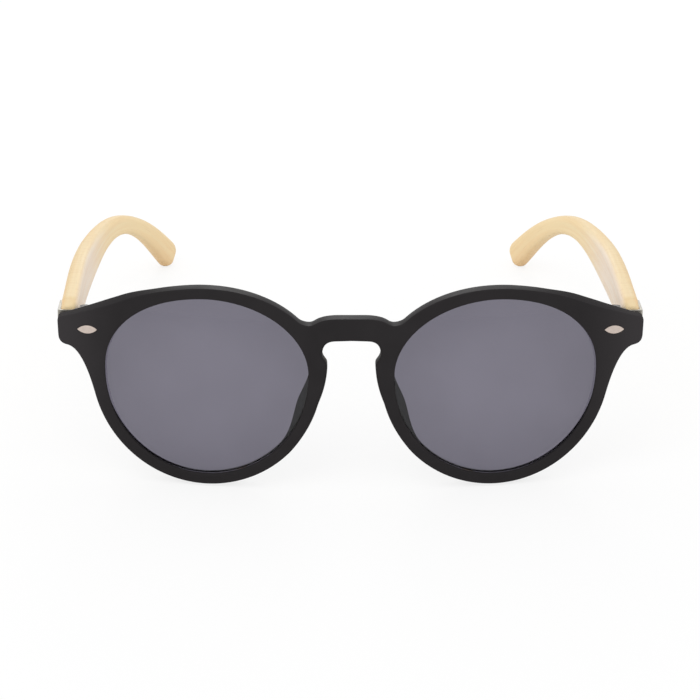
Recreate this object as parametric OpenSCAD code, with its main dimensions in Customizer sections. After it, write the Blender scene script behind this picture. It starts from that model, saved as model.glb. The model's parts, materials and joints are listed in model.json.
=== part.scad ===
// Sunglasses with a black moulded front, grey lenses and bent bamboo temples on spring hinges.
// Each piece is drawn in the front's own frame: x across, y back along the temples, and z up,
// with z = 0 on the widest line of the lenses. stand() then leans the whole object back until
// the rims and the temple tips rest on the floor, with the origin under the middle of its box.
// Left and right are as seen from in front, facing the wearer.

/* [Lenses] */
// Width of a lens opening
lens_w = 50.3; // [46:0.1:53]
// Height of a lens opening above its widest line
lens_up = 18; // [17:0.1:19.5]
// Height of a lens opening below its widest line
lens_down = 26.6; // [24:0.1:29]
// Fullness of the opening's upper half, where 2 is an ellipse
lens_fullness = 2.05; // [1.95:0.05:2.3]
// Fullness of that half on the side of the nose
lens_nose = 1.85; // [1.75:0.05:2.1]
// Thickness of a lens
lens_t = 2; // [1.6:0.1:2.2]
// How far a lens sits behind the front face
lens_set = 1.1; // [0.9:0.1:1.3]
// How far the edge of a lens goes into the groove of its rim
lens_edge = 0.7; // [0.4:0.1:1]
// Play between a lens and its groove
lens_play = 0.05; // [0.02:0.01:0.1]

/* [Front] */
// Width across the end pieces
front_w = 145.7; // [143:0.1:150]
// Thickness of the front
front_t = 4.2; // [4:0.1:5]
// Radius that the front is curved to
face_r = 260; // [230:5:320]
// Width of the rim beside a lens
rim_side = 3.55; // [3:0.05:4.5]
// Width of the rim above a lens
rim_top = 2.65; // [2:0.05:3.5]
// Width of the rim under a lens
rim_low = 3.2; // [2.5:0.05:4]
// Height of the end pieces' upper corners above the widest line
end_top = 11.5; // [10.5:0.1:13]
// Height of the end pieces' lower corners above the widest line
end_low = 5.1; // [4.5:0.1:6]
// Length over which the front thickens towards the end pieces
end_ramp = 14; // [8:0.5:16]

/* [Bridge] */
// Gap between the two lens openings
bridge_gap = 21.3; // [20:0.1:23]
// Height of the bridge's top edge above the widest line
bridge_rise = 13.8; // [13:0.1:14.5]
// Height of the bridge, from its top edge to the keyhole
bridge_h = 5.8; // [4.5:0.1:6.5]
// Length of the straight part of the bridge's top edge
bridge_flat = 6; // [4:0.5:10]
// Distance between the notches beside the bridge
notch_gap = 20.6; // [19:0.1:22]
// Depth of the notches below the bridge's top edge
notch_d = 1.8; // [1:0.1:2.2]
// Width of the keyhole at its widest
keyhole_w = 14.4; // [13:0.1:15]
// Width of the keyhole at its waist
keyhole_waist = 11.8; // [10:0.1:12.5]
// Height from the waist of the keyhole to the bridge
keyhole_h = 5.5; // [5:0.1:7]
// How far the nose pads stand out behind the rims
pad_out = 3.6; // [2.5:0.1:4.5]
// Roundness of the nose pads
pad_r = 2.4; // [2:0.1:2.6]

/* [Temples] */
// Length of a temple along its middle line
temple_len = 135.5; // [130:0.5:142]
// Thickness of a temple at the hinge
temple_t = 4.3; // [3.8:0.1:5]
// Thickness of a temple at its tip
tip_t = 3.85; // [3:0.05:4.3]
// Height of a temple at the hinge
temple_h = 9; // [8:0.1:10]
// Greatest height of a temple
temple_mid_h = 10.7; // [9:0.1:11.5]
// Distance from the front end to the greatest height
temple_mid_at = 44; // [38:1:55]
// Least height of a temple, in the middle of its bend
temple_neck_h = 5.1; // [4.5:0.1:7]
// Height of a temple at its tip
tip_h = 7.6; // [6.5:0.1:9]
// Corner radius of the tip
tip_r = 2.9; // [2:0.1:3.2]
// Width of the bevel along a temple's edges
temple_bevel = 0.5; // [0.2:0.1:0.9]
// Height of a temple's top edge at the hinge above the widest line
temple_top = 13.8; // [13:0.1:14.5]
// Length of the straight stretch behind the hinge
straight_len = 24; // [22:1:30]
// Inward turn spread along the rest of a temple, in degrees
sweep_turn = 13.5; // [6:0.1:15]
// Further inward turn at the hook, in degrees
hook_turn = 12; // [6:0.1:15]
// Distance along a temple to where the hook turns inward
hook_from = 68.5; // [62:0.5:80]
// Length over which the hook turns inward
hook_len = 43.5; // [35:0.5:55]
// Downward bend of the hook, in degrees
drop_turn = 37.5; // [30:0.5:45]
// Distance along a temple to where it bends down
drop_from = 81; // [75:0.5:84]
// Length over which it bends down
drop_len = 49.5; // [45:0.5:53]

/* [Hinges] */
// Height of a hinge's middle above the widest line
hinge_z = 8.9; // [8.7:0.1:9.1]
// Outer radius of the knuckles
knuckle_r = 1.35; // [1.25:0.05:1.4]
// Height of one knuckle
knuckle_h = 2.35; // [2:0.05:2.4]
// Gap between one knuckle and the next
knuckle_gap = 0.06; // [0.04:0.01:0.1]
// Gap from the knuckles to the end piece
knuckle_clear = 0.65; // [0.6:0.05:1]
// Gap between an end piece and the temple behind it
joint_gap = 0.3; // [0.15:0.05:0.4]
// Shank radius of a hinge screw
pin_r = 0.7; // [0.6:0.05:0.75]
// Head radius of a hinge screw
pin_head_r = 1.05; // [0.95:0.05:1.1]
// Head height of a hinge screw
pin_head_h = 0.6; // [0.4:0.05:0.8]
// Radial play between a screw or rivet and its hole
hole_play = 0.04; // [0.02:0.01:0.08]
// Width of the metal leaf let into each end piece
leaf_w = 5.8; // [5.4:0.1:6.2]
// Thickness of the leaf
leaf_t = 1; // [0.8:0.1:1.2]
// Length of a rivet's pointed head
rivet_w = 5; // [4.4:0.1:5.6]
// Height of a rivet's pointed head
rivet_h = 2.4; // [2.1:0.1:2.8]
// Shank radius of a rivet
rivet_r = 0.8; // [0.6:0.05:1]
// Thickness of a rivet's head
rivet_t = 0.8; // [0.6:0.1:1.2]
// How far a rivet's head stands out of the front face
rivet_proud = 0.2; // [0.1:0.05:0.4]
// Distance from the outer edge of an end piece to its rivet
rivet_in = 7.5; // [7.2:0.1:7.8]
// Least gap between a rivet's head and the edge of the lens
rivet_clear = 0.5; // [0.4:0.1:1]

/* [Spring cases] */
// Distance from the inner face of a temple to its hinge screw
pin_in = 1.7; // [1.6:0.05:1.8]
// Width of a spring case, which is let into the temple
case_w = 2.7; // [2.6:0.05:2.9]
// Height of a spring case
case_h = 5; // [4.8:0.1:5.4]
// Length of a spring case
case_len = 12.5; // [12:0.5:14]
// Thickness of the case's front wall
case_wall = 1.5; // [1:0.1:1.6]
// Shank radius of a case screw
case_screw_r = 0.4; // [0.3:0.05:0.45]
// Head radius of a case screw
case_head_r = 0.75; // [0.65:0.05:0.8]
// Head height of a case screw
case_head_h = 0.4; // [0.3:0.05:0.45]
// Length of a case screw with its head
case_screw_len = 3.1; // [2.8:0.1:3.3]
// Distance of the case screws above and below the spring's middle
case_screw_z = 1.75; // [1.65:0.05:1.85]
// Distance of the case screws behind the front of the case
case_screw_in = 2.2; // [1.8:0.1:3]
// How far the slider's arm lies behind the middle of the hinge screw
arm_back = 0.3; // [0.2:0.05:0.4]
// Play above and below the slider's arm
arm_play = 0.2; // [0.1:0.05:0.3]
// Side of the square shank that slides in the case
shank_w = 0.8; // [0.7:0.05:0.85]
// Sliding play around the shank
shank_play = 0.05; // [0.03:0.01:0.06]
// Outer radius of the coil spring
spring_r = 0.95; // [0.9:0.01:1]
// Radius of the spring's wire
wire_r = 0.15; // [0.12:0.01:0.16]
// Turns of the spring
spring_turns = 7; // [5:1:9]
// Length of the spring at rest
spring_len = 7.2; // [6.5:0.1:7.6]
// Thickness of the collar that holds the spring on its shank
collar_t = 1.2; // [0.8:0.1:1.4]
// Thickness of the metal cap at the front end of a temple
cap_t = 0.7; // [0.6:0.05:0.9]
// How far the cap stands out beside the end piece
cap_proud = 0.2; // [0:0.05:0.4]
// Length of the cap along the outside of the temple
cap_len = 8.5; // [6:0.5:12]
// Height of the cap
cap_h = 6; // [5:0.1:6.5]

/* [Hidden] */
left = -1;
right = 1;
$fn = 48;

// Finishes
black = "#2d2c2d";
smoke = "#7a7580";
satin = "#cfc8c0";
steel = "#9a9a9c";
bamboo = "#ecd6aa";

// Fineness of the large curves
ball_fn = 360;
eye_steps = 72;
edge_steps = 8;
path_steps = 44;
tip_steps = 6;
pad_fn = 24;
wire_sides = 6;
wire_rings = 12;
eps = 0.01;
// How far a cut reaches past what it cuts
past = 1;

// Places across the front
half_w = front_w / 2;
lens_x = (bridge_gap + lens_w) / 2;
rim_x = lens_x + lens_w / 2 + rim_side;
face_mid = (lens_up + rim_top - lens_down - rim_low) / 2;
temple_out = half_w + cap_proud - cap_t;
temple_in = temple_out - temple_t;
pin_x = temple_in - pin_in;
case_x = temple_out - temple_t / 2;
cap_out = temple_out + cap_t;
rivet_x = max(half_w - rivet_in, eye_x(hinge_z) + lens_edge + rivet_w / 2 + rivet_clear);
leaf_x = (rivet_x + pin_x) / 2;

// Places from front to back
end_land = 0.1;
end_rear = face_y(half_w, end_top, face_r - front_t) + end_land;
pin_y = end_rear + knuckle_clear + knuckle_r;
temple_y = end_rear + joint_gap + cap_t;
case_y = pin_y + knuckle_r + knuckle_clear;
case_end = case_y + case_len;
bore_y = case_y + case_wall;
spring_y = bore_y + shank_play;
collar_y = spring_y + spring_len + shank_play;
shank_end = collar_y + collar_t;
bore_r = spring_r + shank_play;
stud_r = shank_w * 0.45;
deep = face_r / 4;

// Curves
function lerp(a, b, t) = a + (b - a) * t;
function clamp(t) = min(max(t, 0), 1);
function ease(t) = let (c = clamp(t)) c * c * (3 - 2 * c);
function signed_power(t, n) = sign(t) * pow(abs(t), n);
function bend(a, b, c) = [
    for (i = [0 : edge_steps]) let (t = i / edge_steps) lerp(lerp(a, b, t), lerp(b, c, t), t)
];
function mirrored(points) = [for (i = [len(points) - 1 : -1 : 0]) [-points[i].x, points[i].y]];

// Depth at which a sphere about the centre of the front's curve lies behind the front
function face_y(x, z, r) = face_r - sqrt(r * r - x * x - (z - face_mid) * (z - face_mid));

// A point of the outline round the right lens, grown beside, above and under the opening
function eye(a, beside, above, under, nose = lens_fullness) = let (
    upper = sin(a) >= 0,
    power = upper ? 2 / (cos(a) < 0 ? nose : lens_fullness) : 1,
    height = upper ? lens_up + above : lens_down + under
) [
    lens_x + (lens_w / 2 + beside) * signed_power(cos(a), power),
    height * signed_power(sin(a), power)
];
function eye_outline(beside, above, under) = [
    for (i = [0 : eye_steps - 1]) eye(i * 360 / eye_steps, beside, above, under)
];
function rim(a) = eye(a, rim_side, rim_top, rim_low);
function eye_x(z) = lens_x + lens_w / 2 * pow(1 - pow(z / lens_up, lens_fullness), 1 / lens_fullness);
function lens_outline(grow) = [
    for (i = [0 : eye_steps - 1]) eye(i * 360 / eye_steps, grow, grow, grow, lens_nose)
];

// End piece: brow line, rounded outer corners, and the scoop under it back to the rim
brow_a = 81.5;
brow_reach = 10.5;
brow_way = rim(brow_a - 1) - rim(brow_a + 1);
end_round = 0.4;
end_low_round = 1.8;
end_lean = 0.2;
scoop_in = 2.25;
scoop_a = -15;
scoop_drop = 0.2;
end_corner = [half_w - end_round, end_top];
end_toe = [half_w - end_lean - end_low_round, end_low - end_low_round / 4];
end_outline = concat(
    bend(rim(brow_a), rim(brow_a) + brow_reach * brow_way / norm(brow_way), end_corner),
    bend(end_corner, [half_w, end_top - end_round / 3], [half_w, end_top - end_round]),
    bend([half_w - end_lean, end_low + end_low_round], [half_w - end_lean, end_low], end_toe),
    bend(end_toe, [rim_x + scoop_in, end_low - end_low_round * scoop_drop], rim(scoop_a)),
    [[lens_x, 0]]
);

// Bridge: straight top edge, notches against the rims, and the keyhole over the nose
notch_x = notch_gap / 2;
notch_a = 143;
notch_lip = 1.3;
notch_out = rim(notch_a);
notch_in = [notch_x - notch_lip, bridge_rise - notch_d * 0.7];
notch_low = [notch_x - notch_lip / 6, bridge_rise - notch_d * 1.3];
keyhole_top = bridge_rise - bridge_h;
keyhole_arch = 0.13;
waist = [keyhole_waist / 2, keyhole_top - keyhole_h];
lobe_r = 2.8;
lobe = [keyhole_w / 2, keyhole_top - lobe_r];
leg_a = 195.6;
leg_low = rim(leg_a);
bridge_half = concat(
    [[0, bridge_rise]],
    bend([bridge_flat / 2, bridge_rise], [notch_x - lobe_r, bridge_rise], notch_in),
    bend(notch_in, notch_low, notch_out),
    [[lens_x, 0]],
    bend(leg_low, [waist.x, (waist.y + leg_low.y) / 2], waist),
    bend(waist, [lobe.x, (waist.y + lobe.y) / 2], lobe),
    bend(lobe, [lobe.x, keyhole_top], [lobe.x - lobe_r, keyhole_top]),
    [[0, keyhole_top + keyhole_arch]]
);

// Nose pads: balls along the nose side of a rim, as [angle round the lens, share of pad_r]
pad_balls = [[192, 0.9], [203, 1], [215, 0.85]];
pad_aside = 0.7;

// Temple: turns, height and thickness at a distance s from its front end
function drop_at(s) = drop_turn * ease((s - drop_from) / drop_len);
function turn_at(s) = sweep_turn * clamp((s - straight_len) / (temple_len - straight_len))
    + hook_turn * ease((s - hook_from) / hook_len);
neck_at = drop_from + drop_len / 2;
function full_height(s) = s < temple_mid_at ? lerp(temple_h, temple_mid_h, ease(s / temple_mid_at))
    : s < neck_at ? lerp(temple_mid_h, temple_neck_h, ease((s - temple_mid_at) / (neck_at - temple_mid_at)))
    : lerp(temple_neck_h, tip_h, ease((s - neck_at) / (temple_len - neck_at)));
function height_at(s) = let (e = 1 - clamp((temple_len - s) / tip_r))
    full_height(s) - 2 * tip_r * (1 - sqrt(1 - e * e));
function thick_at(s) = lerp(temple_t, tip_t, clamp((s - straight_len) / (temple_len - straight_len)));

// Stations along a temple, closer together round the tip, and the middle line through them
stations = concat(
    [for (i = [0 : path_steps]) i * (temple_len - tip_r) / path_steps],
    [for (i = [1 : tip_steps]) temple_len - tip_r * (1 - sin(90 * i / tip_steps))]
);
function ahead(s) = [-sin(turn_at(s)), cos(turn_at(s)), 0];
function way_at(s) = ahead(s) * cos(drop_at(s)) - [0, 0, sin(drop_at(s))];
function up_at(s) = ahead(s) * sin(drop_at(s)) + [0, 0, cos(drop_at(s))];
temple_front = [temple_out - temple_t / 2, temple_y, temple_top - temple_h / 2];
middle_line = [
    for (i = 0, p = temple_front; i < len(stations);
        p = i + 1 < len(stations) ? p + (stations[i + 1] - stations[i])
            * way_at((stations[i] + stations[i + 1]) / 2) : p, i = i + 1) p
];

// Bevelled section of a temple at station i, as a ring of points
function section(i) = let (
    s = stations[i],
    up = up_at(s),
    out = cross(way_at(s), up),
    h = height_at(s) / 2,
    t = thick_at(s) / 2,
    b = temple_bevel
) [
    for (c = [
        [t - b, h], [t, h - b], [t, b - h], [t - b, -h],
        [b - t, -h], [-t, b - h], [-t, h - b], [b - t, h]
    ]) middle_line[i] + c.x * out + c.y * up
];
temple_rings = [for (i = [0 : len(stations) - 1]) section(i)];

// Standing: the lean at which the rims and the tips touch the floor together
function leaned(p, a) = [p.x, p.y * cos(a) + p.z * sin(a), p.z * cos(a) - p.y * sin(a)];
rim_line = eye_outline(rim_side, rim_top, rim_low);
rim_rear = [for (p = rim_line) [p.x, face_y(p.x, p.y, face_r - front_t), p.y]];
rim_face = [for (p = rim_line) [p.x, face_y(p.x, p.y, face_r), p.y]];
temple_points = [for (ring = temple_rings) each ring];
function lowest(points, a) = min([for (p = points) leaned(p, a).z]);
function find_lean(lo, hi, n) = let (a = (lo + hi) / 2)
    n == 0 ? a
    : lowest(temple_points, a) > lowest(rim_rear, a) ? find_lean(a, hi, n - 1) : find_lean(lo, a, n - 1);
most_lean = 20;
lean = find_lean(0, most_lean, 24);
floor_z = lowest(rim_rear, lean);
front_y = min([for (p = rim_face) leaned(p, lean).y]);
back_y = max([for (p = temple_points) leaned(p, lean).y]);

// Where the right hinge pin lies and points once the object stands, for reference
function standing(p) = leaned(p, lean) - [0, (front_y + back_y) / 2, floor_z];
echo(lean = lean, pin = standing([pin_x, pin_y, hinge_z]), depth = back_y - front_y);
echo(pin_way = leaned([0, 0, 1], lean), slide_way = leaned([0, 1, 0], lean));

// Spring: one round of points across the wire for each step along the coil
coil_r = spring_r - wire_r;
coil_len = spring_len - 2 * wire_r;
coil_rings = [
    for (i = [0 : spring_turns * wire_rings]) let (
        a = i * 360 / wire_rings,
        radial = [cos(a), 0, sin(a)],
        rise = coil_len / (spring_turns * 2 * PI * coil_r),
        way = [-sin(a), rise, cos(a)] / sqrt(1 + rise * rise),
        side = cross(way, radial),
        middle = coil_r * radial + [0, wire_r + coil_len * i / (spring_turns * wire_rings), 0]
    ) [for (k = [0 : wire_sides - 1]) let (b = k * 360 / wire_sides)
        middle + wire_r * (cos(b) * radial + sin(b) * side)]
];
coil_pitch = coil_len / spring_turns;
echo(least_gap_between_turns = norm([coil_pitch, 0]) - 2 * wire_r);

// Closed skin over rings of points
module skin(rings) {
    m = len(rings[0]);
    n = len(rings);
    polyhedron([for (r = rings) each r], concat(
        [[for (j = [m - 1 : -1 : 0]) j], [for (j = [0 : m - 1]) (n - 1) * m + j]],
        [for (i = [0 : n - 2], j = [0 : m - 1]) let (k = (j + 1) % m)
            [i * m + j, i * m + k, (i + 1) * m + k]],
        [for (i = [0 : n - 2], j = [0 : m - 1]) let (k = (j + 1) % m)
            [i * m + j, (i + 1) * m + k, (i + 1) * m + j]]
    ));
}

// A flat outline in x and z carried from y = from to y = to
module slab(outline, from = -deep, to = deep)
    translate([0, to, 0]) rotate([90, 0, 0]) linear_extrude(to - from) polygon(outline);

// A box from one corner to the opposite one
module block(low, high) translate(low) cube(high - low);

// A round bar along y, and one along z
module bar_y(r, from, to) translate([0, to, 0]) rotate([90, 0, 0]) cylinder(r = r, h = to - from);
module bar_z(r, from, to) translate([0, 0, from]) cylinder(r = r, h = to - from);

// A ball about the centre of the front's curve
module face_ball(r) translate([0, face_r, face_mid]) sphere(r, $fn = ball_fn);
module face_shell(outer, inner) difference() {
    face_ball(outer);
    face_ball(inner);
}

// The piece as it stands, and its place on the left or right
module stand() translate([0, -(front_y + back_y) / 2, -floor_z]) rotate([-lean, 0, 0]) children();
module on(side) if (side == left) mirror([1, 0, 0]) children(); else children();

// Pointed rivet head, as the overlap of two circles, and the space it takes up
module rivet_head(grow, outer, inner) intersection() {
    face_shell(outer, inner);
    translate([rivet_x, deep, hinge_z]) rotate([90, 0, 0]) linear_extrude(deep * 2) intersection() {
        translate([0, -head_shift]) circle(head_r + grow);
        translate([0, head_shift]) circle(head_r + grow);
    }
}
head_r = (rivet_w * rivet_w + rivet_h * rivet_h) / (4 * rivet_h);
head_shift = head_r - rivet_h / 2;

// Sides and height of the leaf let into an end piece
leaf_low = [leaf_x - leaf_w / 2, end_rear - leaf_t, hinge_z - knuckle_h * 1.5 - knuckle_gap];
leaf_high = [leaf_x + leaf_w / 2, end_rear, hinge_z + knuckle_h * 1.5 + knuckle_gap];
leaf_land = 1;

// Thickened back of the end piece, flat where the temple meets it
module end_block() {
    flat_x = leaf_low.x - leaf_land;
    ramp_x = flat_x - end_ramp;
    ramp_y = face_y(ramp_x, face_mid, face_r - front_t);
    intersection() {
        face_ball(face_r);
        slab(end_outline, 0, end_rear);
        translate([0, 0, -deep]) linear_extrude(deep * 2) polygon([
            [ramp_x, 0], [ramp_x, ramp_y], [flat_x, end_rear], [half_w + past, end_rear], [half_w + past, 0]
        ]);
    }
}

// Space that a lens fills in the front, and all that lies before its back
module lens_space() {
    slab(lens_outline(0));
    intersection() {
        slab(lens_outline(lens_edge + lens_play));
        face_shell(face_r - lens_set + lens_play, face_r - lens_set - lens_t - lens_play);
    }
}

module nose_pad() difference() {
    hull() for (ball = pad_balls) {
        c = (rim(ball[0]) + eye(ball[0], 0, 0, 0)) / 2;
        r = pad_r * ball[1];
        y = face_y(c.x, c.y, face_r - front_t) + pad_out - r;
        translate([c.x + pad_aside, y, c.y]) sphere(r, $fn = pad_fn);
    }
    difference() {
        slab(lens_outline(lens_edge + lens_play));
        face_ball(face_r - lens_set - lens_t - lens_play);
    }
}

module front_frame() color(black) stand() {
    difference() {
        union() {
            intersection() {
                face_shell(face_r, face_r - front_t);
                union() {
                    slab(concat(bridge_half, mirrored(bridge_half)));
                    for (side = [left, right]) on(side) {
                        slab(eye_outline(rim_side, rim_top, rim_low));
                        slab(end_outline);
                    }
                }
            }
            for (side = [left, right]) on(side) end_block();
        }
        for (side = [left, right]) on(side) {
            lens_space();
            block(leaf_low, leaf_high + [0, past, 0]);
            translate([rivet_x, 0, hinge_z]) bar_y(rivet_r + hole_play, 0, end_rear);
            rivet_head(hole_play, face_r + past, face_r - rivet_t - hole_play);
        }
    }
    for (side = [left, right]) on(side) nose_pad();
}

module lens(side) color(smoke) stand() on(side) intersection() {
    slab(lens_outline(lens_edge));
    face_shell(face_r - lens_set, face_r - lens_set - lens_t);
}

module rivet(side) color(satin) stand() on(side) {
    rivet_head(0, face_r + rivet_proud, face_r - rivet_t);
    translate([rivet_x, 0, hinge_z])
        bar_y(rivet_r, face_y(rivet_x, hinge_z, face_r - rivet_t / 2), end_rear);
}

// Leaf in the end piece, with the upper and lower knuckles
module hinge_leaf(side) color(steel) stand() on(side) difference() {
    union() {
        block(leaf_low, leaf_high);
        for (z = [-1, 1]) {
            middle = hinge_z + z * (knuckle_h + knuckle_gap);
            translate([pin_x, pin_y, 0]) bar_z(knuckle_r, middle - knuckle_h / 2, middle + knuckle_h / 2);
            block([pin_x - knuckle_r, end_rear - eps, middle - knuckle_h / 2],
                [pin_x + knuckle_r, pin_y, middle + knuckle_h / 2]);
        }
    }
    translate([rivet_x, 0, hinge_z]) bar_y(rivet_r + hole_play, 0, end_rear + past);
    translate([pin_x, pin_y, 0]) {
        bar_z(pin_r + hole_play, leaf_low.z - past, leaf_high.z + past);
        bar_z(pin_head_r + hole_play, leaf_high.z - pin_head_h - hole_play, leaf_high.z + past);
    }
}

module hinge_screw(side) color(steel) stand() on(side) translate([pin_x, pin_y, 0]) difference() {
    union() {
        bar_z(pin_r, leaf_low.z, leaf_high.z);
        bar_z(pin_head_r, leaf_high.z - pin_head_h, leaf_high.z);
    }
    block([-knuckle_r, -pin_r / 4, leaf_high.z - pin_head_h / 2],
        [knuckle_r, pin_r / 4, leaf_high.z + past]);
}

// Middle knuckle, with an arm into the temple and the square shank that slides in the case
module hinge_slider(side) color(steel) stand() on(side) translate([pin_x, pin_y, hinge_z]) difference() {
    union() {
        bar_z(knuckle_r, -knuckle_h / 2, knuckle_h / 2);
        block([0, arm_back, -knuckle_h / 2],
            [case_x - pin_x + shank_w, case_y - pin_y - shank_play, knuckle_h / 2]);
        translate([case_x - pin_x, 0, 0]) {
            block([-shank_w / 2, arm_back, -shank_w / 2], [shank_w / 2, collar_y - pin_y, shank_w / 2]);
            bar_y(stud_r, collar_y - pin_y - eps, shank_end - pin_y);
        }
    }
    bar_z(pin_r + hole_play, -knuckle_h, knuckle_h);
}

module spring_collar(side) color(steel) stand() on(side) translate([case_x, 0, hinge_z]) difference() {
    bar_y(spring_r, collar_y, shank_end);
    bar_y(stud_r, collar_y - past, shank_end + past);
}

module hinge_spring(side) color(steel) stand() on(side)
    translate([case_x, spring_y, hinge_z]) skin(coil_rings);

// Bars along x at the places of the two case screws
screw_y = case_y + case_screw_in;
module case_screw_bars(r, from, to) for (z = [-1, 1])
    translate([from, screw_y, hinge_z + z * case_screw_z]) rotate([0, 90, 0]) cylinder(r = r, h = to - from);

// Box that a spring case fills, or the mortise for it where it is grown
module case_box(from, grow) block(
    [case_x - case_w / 2 - grow, from, hinge_z - case_h / 2 - grow],
    [case_x + case_w / 2 + grow, case_end + grow, hinge_z + case_h / 2 + grow]);

module spring_case(side) color(steel) stand() on(side) difference() {
    case_box(case_y, 0);
    translate([case_x, 0, hinge_z]) {
        bar_y(bore_r, bore_y, case_end + past);
        hole = shank_w / 2 + shank_play;
        block([-hole, case_y - past, -hole], [hole, bore_y + past, hole]);
    }
    case_screw_bars(case_screw_r + hole_play, cap_out - case_screw_len - hole_play, cap_out);
}

// Slotted screws through the cap into the case
module case_screws(side) color(steel) stand() on(side) difference() {
    union() {
        case_screw_bars(case_screw_r, cap_out - case_screw_len, cap_out - case_head_h / 2);
        case_screw_bars(case_head_r, cap_out - case_head_h, cap_out);
    }
    for (z = [-1, 1]) translate([cap_out, screw_y, hinge_z + z * case_screw_z])
        block([-case_head_h / 2, -case_screw_r / 4, -case_head_r - eps],
            [past, case_screw_r / 4, case_head_r + eps]);
}

// Mortise for the case, slot for the slider's arm, relief beside the knuckles and sloping nose
nose_drop = 1.3;
nose_len = 5;
relief_in = 1;
relief_len = 2.5;
module temple(side) color(bamboo) stand() on(side) difference() {
    skin(temple_rings);
    case_box(temple_y - past, hole_play);
    block([temple_in - past, temple_y - past, hinge_z - knuckle_h / 2 - arm_play],
        [case_x, case_y, hinge_z + knuckle_h / 2 + arm_play]);
    case_screw_bars(case_screw_r + hole_play, case_x, temple_out + past);
    translate([0, 0, -deep]) linear_extrude(deep * 2) polygon([
        [temple_in - past, temple_y - past], [temple_in + relief_in, temple_y - past],
        [temple_in + relief_in, temple_y], [temple_in, temple_y + relief_len],
        [temple_in - past, temple_y + relief_len]
    ]);
    rotate([90, 0, 90]) linear_extrude(deep * 2) polygon([
        [temple_y - past, temple_top - nose_drop], [temple_y, temple_top - nose_drop],
        [temple_y + nose_len * 2, temple_top + nose_drop], [temple_y - past, temple_top + nose_drop]
    ]);
}

// Cap round the front and outer faces of a temple
module temple_cap(side) color(satin) stand() on(side) difference() {
    block([temple_in, temple_y - cap_t, hinge_z - cap_h / 2],
        [cap_out, temple_y + cap_len, hinge_z + cap_h / 2]);
    block([temple_in - past, temple_y, hinge_z - cap_h],
        [temple_out, temple_y + cap_len + past, hinge_z + cap_h]);
    case_screw_bars(case_screw_r + hole_play, temple_out - past, cap_out + past);
    case_screw_bars(case_head_r + hole_play, cap_out - case_head_h - hole_play, cap_out + past);
}

front_frame();
lens(left);  // lens_left
lens(right);  // lens_right
rivet(left);  // rivet_left
rivet(right);  // rivet_right
hinge_leaf(left);  // hinge_leaf_left
hinge_leaf(right);  // hinge_leaf_right
hinge_screw(left);  // hinge_screw_left
hinge_screw(right);  // hinge_screw_right
hinge_slider(left);  // hinge_slider_left
hinge_slider(right);  // hinge_slider_right
spring_collar(left);  // spring_collar_left
spring_collar(right);  // spring_collar_right
hinge_spring(left);  // hinge_spring_left
hinge_spring(right);  // hinge_spring_right
spring_case(left);  // spring_case_left
spring_case(right);  // spring_case_right
case_screws(left);  // case_screws_left
case_screws(right);  // case_screws_right
temple(left);  // temple_left
temple(right);  // temple_right
temple_cap(left);  // temple_cap_left
temple_cap(right);  // temple_cap_right
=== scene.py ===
"""Looks of the sunglasses: black moulded front, grey lenses, bamboo temples and spring hinges.

New pieces are worked out in millimetres in the front's own frame, with x across, y back along the
temples and z up from the widest line of the lenses. They are then leaned back into the CAD frame.
"""

import json
import math
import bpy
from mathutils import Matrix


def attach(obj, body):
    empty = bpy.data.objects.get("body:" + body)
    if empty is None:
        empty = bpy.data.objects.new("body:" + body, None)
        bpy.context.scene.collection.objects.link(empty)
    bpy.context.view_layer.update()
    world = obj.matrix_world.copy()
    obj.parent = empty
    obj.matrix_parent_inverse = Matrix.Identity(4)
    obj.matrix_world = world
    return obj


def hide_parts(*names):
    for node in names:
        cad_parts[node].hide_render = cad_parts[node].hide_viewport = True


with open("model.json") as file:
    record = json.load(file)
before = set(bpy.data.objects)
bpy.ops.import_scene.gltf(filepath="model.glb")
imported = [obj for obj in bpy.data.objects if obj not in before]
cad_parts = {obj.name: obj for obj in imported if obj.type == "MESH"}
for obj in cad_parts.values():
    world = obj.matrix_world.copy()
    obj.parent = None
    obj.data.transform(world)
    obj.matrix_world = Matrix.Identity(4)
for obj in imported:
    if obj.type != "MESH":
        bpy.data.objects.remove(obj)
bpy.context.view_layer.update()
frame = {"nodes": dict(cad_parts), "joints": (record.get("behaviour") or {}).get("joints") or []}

from types import SimpleNamespace

import bmesh
import bpy
import numpy as np
from bpy.props import FloatProperty, FloatVectorProperty, PointerProperty
from mathutils import Matrix

bl_info = {
    "name": "Sunglasses",
    "version": (1, 0, 0),
    "blender": (4, 5, 0),
    "location": "3D View > Sidebar > Sunglasses",
    "description": "Dresses round sunglasses with a black front and bamboo temples on their CAD frame",
    "category": "Add Mesh",
}

MM = 0.001
SHARE = {"min": 0, "max": 1, "subtype": "FACTOR"}
SIDES = {"left": -1, "right": 1}
PIN = next(joint for joint in frame["joints"] if joint["name"] == "right_fold")


def amount(name, description, value, **kind):
    """A number."""
    return FloatProperty(name=name, description=description, default=value, **kind)


def length(name, description, millimetres):
    """A size in metres, given in millimetres."""
    return amount(name, description, millimetres * MM, unit="LENGTH", subtype="DISTANCE", precision=5)


def angle(name, description, degrees):
    """An angle, given in degrees."""
    return amount(name, description, math.radians(degrees), unit="ROTATION", subtype="ANGLE")


def colour(name, description, red, green, blue):
    """A linear colour, given as it looks on a screen, from 0 to 255."""
    screen = np.array([red, green, blue]) / 255
    linear = np.where(screen > 0.04045, ((screen + 0.055) / 1.055) ** 2.4, screen / 12.92)
    kind = {"size": 3, "min": 0, "max": 1, "subtype": "COLOR"}
    return FloatVectorProperty(name=name, description=description, default=linear.tolist(), **kind)


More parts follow.
